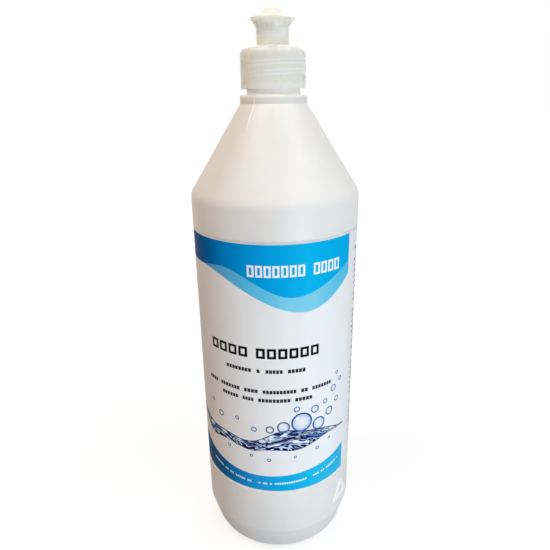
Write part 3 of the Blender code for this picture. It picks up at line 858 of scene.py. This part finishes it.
class SOAP_OT_cap_thread(bpy.types.Operator):
    """Models the cap's inner thread, half a pitch from the neck's"""

    bl_idname = "soap_bottle.cap_thread"
    bl_label = "Cap thread"

    def execute(self, context):
        settings = context.scene.soap_bottle
        root, crest = CAP_BORE_RADIUS + CAP_THREAD_SINK, settings.thread_crest
        middle = (root + crest) / 2.0
        start = THREAD_LOW_Z - THREAD_PITCH / 2.0
        bpy.ops.object.select_all(action="DESELECT")
        bpy.ops.mesh.primitive_plane_add(
            size=1.0, location=(middle, 0.0, start), rotation=(math.pi / 2.0, 0.0, 0.0))
        thread = start_piece("cap_inner_thread")
        bpy.ops.object.mode_set(mode="EDIT")
        bpy.ops.mesh.select_all(action="SELECT")
        bpy.ops.transform.resize(
            value=(root - crest, 1.0, CAP_THREAD_ROOT_WIDTH), center_override=(middle, 0.0, start))
        pick(thread, "EDGE", lambda centre, along: centre.x < middle - 1e-5)
        bpy.ops.transform.resize(
            value=(1.0, 1.0, CAP_THREAD_CREST_SHARE), center_override=(middle, 0.0, start))
        bpy.ops.object.mode_set(mode="OBJECT")
        steps = round(CAP_THREAD_STEPS * CAP_THREAD_TURNS)
        apply_modifier(
            thread, "SCREW", angle=2.0 * math.pi * CAP_THREAD_TURNS,
            screw_offset=THREAD_PITCH * CAP_THREAD_TURNS,
            steps=steps, render_steps=steps, use_smooth_shade=True)
        low = min(vertex.co.z for vertex in thread.data.vertices)
        high = max(vertex.co.z for vertex in thread.data.vertices)
        for vertex in thread.data.vertices:
            end = min(vertex.co.z - low, high - vertex.co.z) / CAP_THREAD_RUN_OUT
            radius = vertex.co.to_2d().length
            wanted = root + (radius - root) * min(1.0, end)
            vertex.co.x *= wanted / radius
            vertex.co.y *= wanted / radius
        turn_round_axis(thread, math.pi)
        material = milky_finish(
            "milky_thread_plastic", tuple(settings.cap_colour), 0.36, lambda finish: 0.0).material
        finish_piece(thread, material, "cap")
        return {"FINISHED"}


CAMERA_PLACE = (-0.00056, -0.25094, 0.24375)
CAMERA_FOCAL_PIXELS = 496.73
CAMERA_DIP = 0.3480
CAMERA_ROLL = 0.0150
CAMERA_CLIP_START = 0.01
SENSOR = 36.0

FLOOR_SIDE = 8.0
FLOOR_Z = -0.0002
FLOOR_BOUNCE = (0.14, 0.14, 0.14)
FLOOR_GLOW = 1.10
SHADOW_SHARE = 0.34
SHADOW_REACH = (0.15, 0.55)
WHITE = (1.0, 1.0, 1.0)

# The surroundings' light in red, green and blue: the level, and what the right, left and front add
SKY = (
    (0.150, 0.29, 0.38, 0.50),
    (0.130, 0.21, 0.12, 0.51),
    (0.110, 0.13, 0.00, 0.53),
)
# Lamps: name, place, height on the axis that it points at, diameter, setting of its power, colour
LAMPS = (
    ("lamp_above", (0.38, -0.22, 0.85), 0.20, 0.5, "key_power", (0.88, 0.94, 0.98)),
    ("lamp_left", (-0.38, -0.18, 0.92), 0.20, 0.4, "left_power", (1.0, 0.96, 0.81)),
    ("lamp_low", (0.19, -0.34, 0.06), 0.06, 0.2, "low_power", (0.66, 0.80, 0.92)),
    ("lamp_back", (0.10, 0.75, 0.55), 0.15, 0.5, "back_power", (0.90, 0.96, 1.0)),
)


def white_for_the_camera(tree, first, second):
    """Mixes in the second shader for camera, glossy and transmission rays."""
    path = tree.nodes.new("ShaderNodeLightPath")
    kinds = ("Is Camera Ray", "Is Glossy Ray", "Is Transmission Ray")
    seen = greatest([Signal(tree, path.outputs[kind]) for kind in kinds])
    mix = tree.nodes.new("ShaderNodeMixShader")
    for slot, value in zip(mix.inputs, (seen, first, second)):
        feed(tree, slot, value)
    return mix.outputs[0]


def pale_floor():
    """A wide floor, white to the camera, that keeps a soft shadow near the bottle."""
    bpy.ops.object.select_all(action="DESELECT")
    bpy.ops.mesh.primitive_plane_add(size=FLOOR_SIDE, location=(0.0, 0.0, FLOOR_Z))
    floor = start_piece("floor")
    cover = Finish("pale_floor", **{"Roughness": 0.9, "Specular IOR Level": 0.0})
    grain = cover.noise(cover.point(), 6.0)
    pale = cover.mix(srgb(248, 249, 252), srgb(252, 252, 255), grain.rising(0.3, 0.7))
    seen = cover.node("ShaderNodeLightPath").outputs["Is Camera Ray"]
    cover.drive("Base Color", cover.mix(FLOOR_BOUNCE, pale, seen))
    surface = cover.shader.outputs["BSDF"]
    glow = cover.node("ShaderNodeEmission", inputs={"Color": WHITE, "Strength": FLOOR_GLOW})
    across, along, _ = cover.parts(cover.point())
    near = (across * across + along * along).root().falling(*SHADOW_REACH)
    part_lit = cover.node("ShaderNodeMixShader", inputs={
        0: near * SHADOW_SHARE, 1: glow.outputs[0], 2: surface})
    shown = white_for_the_camera(cover.tree, surface, part_lit.outputs[0])
    cover.tree.links.new(cover.output.inputs["Surface"], shown)
    floor.data.materials.append(cover.material)


def white_room(scene):
    """Surroundings that light the bottle softly from the sides and look white to the camera."""
    world = bpy.data.worlds.new("white_room")
    scene.world = world
    world.use_nodes = True
    tree = world.node_tree
    tree.nodes.clear()
    way = tree.nodes.new("ShaderNodeSeparateXYZ")
    tree.links.new(way.inputs[0], tree.nodes.new("ShaderNodeTexCoord").outputs["Generated"])
    right, back, _ = [Signal(tree, socket) for socket in way.outputs]
    sides = [side.at_least(0.0) for side in (right, right * -1.0, back * -1.0)]
    colour = tree.nodes.new("ShaderNodeCombineXYZ")
    for slot, (level, *shares) in zip(colour.inputs, SKY):
        feed(tree, slot, sides[0] * shares[0] + sides[1] * shares[1] + sides[2] * shares[2] + level)
    light = tree.nodes.new("ShaderNodeBackground")
    feed(tree, light.inputs["Color"], colour.outputs[0])
    backdrop = tree.nodes.new("ShaderNodeBackground")
    feed(tree, backdrop.inputs["Color"], WHITE)
    output = tree.nodes.new("ShaderNodeOutputWorld")
    shown = white_for_the_camera(tree, light.outputs[0], backdrop.outputs[0])
    tree.links.new(output.inputs["Surface"], shown)


def soft_lamp(name, place, aim_height, size, power, colour):
    """A round lamp that points at the bottle's axis."""
    light = bpy.data.lights.new(name, "AREA")
    light.shape = "DISK"
    light.size = size
    light.energy = power
    light.color = colour
    lamp = bpy.data.objects.new(name, light)
    bpy.context.scene.collection.objects.link(lamp)
    lamp.location = place
    aim = Vector((0.0, 0.0, aim_height))
    lamp.rotation_euler = (aim - Vector(place)).to_track_quat("-Z", "Y").to_euler()


def photo_camera(scene):
    """A camera close in front, at the height of the ring, that looks down a little."""
    camera = bpy.data.cameras.new("camera")
    camera.sensor_width = SENSOR
    camera.lens = CAMERA_FOCAL_PIXELS / IMAGE_SIDE * SENSOR
    camera.clip_start = CAMERA_CLIP_START
    eye = bpy.data.objects.new("camera", camera)
    scene.collection.objects.link(eye)
    tilt = Matrix.Rotation(math.pi / 2.0 - CAMERA_DIP, 4, "X")
    eye.matrix_world = Matrix.Translation(CAMERA_PLACE) @ tilt @ Matrix.Rotation(-CAMERA_ROLL, 4, "Z")
    scene.camera = eye


class SOAP_OT_stage(bpy.types.Operator):
    """Sets the pale floor, the soft lamps, the white surroundings and the camera"""

    bl_idname = "soap_bottle.stage"
    bl_label = "Stage and camera"

    def execute(self, context):
        scene = context.scene
        scene.view_settings.view_transform = "Standard"
        pale_floor()
        white_room(scene)
        for name, place, aim_height, size, power, colour in LAMPS:
            soft_lamp(name, place, aim_height, size, getattr(scene.soap_bottle, power), colour)
        photo_camera(scene)
        return {"FINISHED"}


OPERATORS = (
    SOAP_OT_bottle_wall,
    SOAP_OT_label,
    SOAP_OT_closure,
    SOAP_OT_parting_line,
    SOAP_OT_raised_mark,
    SOAP_OT_cap_thread,
    SOAP_OT_stage,
)


class SOAP_PT_panel(bpy.types.Panel):
    """Lists the bottle's sizes, colours and steps"""

    bl_idname = "SOAP_PT_panel"
    bl_label = "Dish Soap Bottle"
    bl_space_type = "VIEW_3D"
    bl_region_type = "UI"
    bl_category = "Bottle"

    def draw(self, context):
        layout = self.layout
        for name in BottleSettings.__annotations__:
            layout.prop(context.scene.soap_bottle, name)
        for operator in OPERATORS:
            layout.operator(operator.bl_idname)


CLASSES = (BottleSettings, *OPERATORS, SOAP_PT_panel)


def register():
    for each in CLASSES:
        bpy.utils.register_class(each)
    bpy.types.Scene.soap_bottle = bpy.props.PointerProperty(type=BottleSettings)


def unregister():
    del bpy.types.Scene.soap_bottle
    for each in reversed(CLASSES):
        bpy.utils.unregister_class(each)


def main():
    register()
    for operator in OPERATORS:
        group, name = operator.bl_idname.split(".")
        getattr(getattr(bpy.ops, group), name)()


if __name__ == "__main__":
    main()
